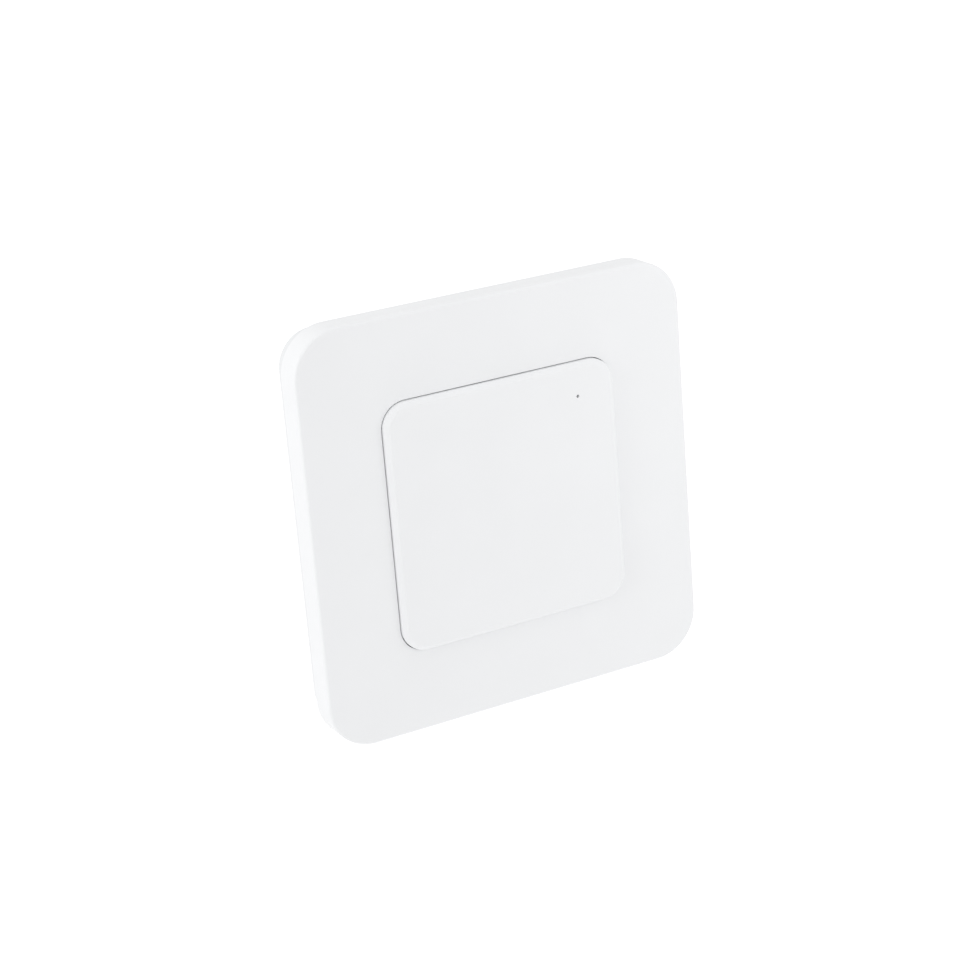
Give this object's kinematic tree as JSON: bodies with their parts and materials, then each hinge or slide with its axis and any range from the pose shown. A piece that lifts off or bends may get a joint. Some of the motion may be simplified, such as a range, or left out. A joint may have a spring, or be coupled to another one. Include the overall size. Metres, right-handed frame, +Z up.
{
  "type": "wireless wall switch",
  "caption": "Square wireless wall switch: a rounded clip-on frame around a large centre rocker that tips up or down and springs back, over a coin-cell transmitter, with a pin-hole lamp.",
  "frame": {"origin": "centre of the tray's back face, on the wall", "axes": "+Y into the wall, so the rocker faces -Y; +Z up; +X to the right for someone facing the switch"},
  "size_m": [0.085, 0.0134, 0.085],
  "materials": {
    "white_plastic": "satin moulded white",
    "tray_plastic": "fine matt white",
    "carrier_plastic": "matt light grey",
    "holder_plastic": "matt black",
    "board_laminate": "green solder mask",
    "switch_plastic": "matt black",
    "stem_plastic": "ivory moulded",
    "chip_epoxy": "matt black epoxy",
    "capacitor_body": "tan ceramic with tinned ends",
    "resistor_body": "black film with tinned ends",
    "storage_body": "moulded amber epoxy",
    "inductor_body": "dark ferrite",
    "cell_steel": "nickel-plated steel",
    "contact_steel": "nickel-plated spring sheet",
    "lead_tin": "tinned",
    "can_steel": "pressed steel can",
    "screw_steel": "zinc plated",
    "antenna_copper": "tinned copper wire",
    "guide_clear": "clear acrylic",
    "led_body": "white lamp with clear lens"
  },
  "bodies": {
    "base": {"cover_frame": "white_plastic", "back_tray": "tray_plastic", "inner_cover": "carrier_plastic", "circuit_board": "board_laminate", "upper_switch_body": "switch_plastic", "lower_switch_body": "switch_plastic", "contact_domes": "contact_steel", "switch_terminals": "lead_tin", "coin_cell": "cell_steel", "battery_holder": "holder_plastic", "battery_positive_clip": "contact_steel", "battery_negative_contact": "contact_steel", "indicator_led": "led_body", "light_guide": "guide_clear", "controller_chip": "chip_epoxy", "controller_leads": "lead_tin", "transmitter_chip": "chip_epoxy", "crystal_can": "can_steel", "antenna_wire": "antenna_copper", "chip_capacitors": "capacitor_body", "chip_resistors": "resistor_body", "storage_capacitor": "storage_body", "matching_inductor": "inductor_body", "board_screws": "screw_steel", "cover_screws": "screw_steel"},
    "rocker_key": {"rocker": "white_plastic"},
    "upper_stem": {"upper_switch_stem": "stem_plastic"},
    "lower_stem": {"lower_switch_stem": "stem_plastic"}
  },
  "joints": [
    {"name": "rocker_tilt", "type": "hinge", "parent": "base", "child": "rocker_key", "pos_m": [0, -0.0093, 0], "axis": [1, 0, 0], "range_deg": [-2.5, 2.5], "stiffness_Nm_per_rad": 0.1},
    {"name": "upper_stem_slide", "type": "slide", "parent": "base", "child": "upper_stem", "axis": [0, 1, 0], "range_m": [-0.00065, 0.00065]},
    {"name": "lower_stem_slide", "type": "slide", "parent": "base", "child": "lower_stem", "axis": [0, 1, 0], "range_m": [-0.00065, 0.00065]}
  ],
  "couplings": [
    {"joint": "upper_stem_slide", "follows": "rocker_tilt", "m_per_rad": -0.01495},
    {"joint": "lower_stem_slide", "follows": "rocker_tilt", "m_per_rad": 0.01495}
  ]
}
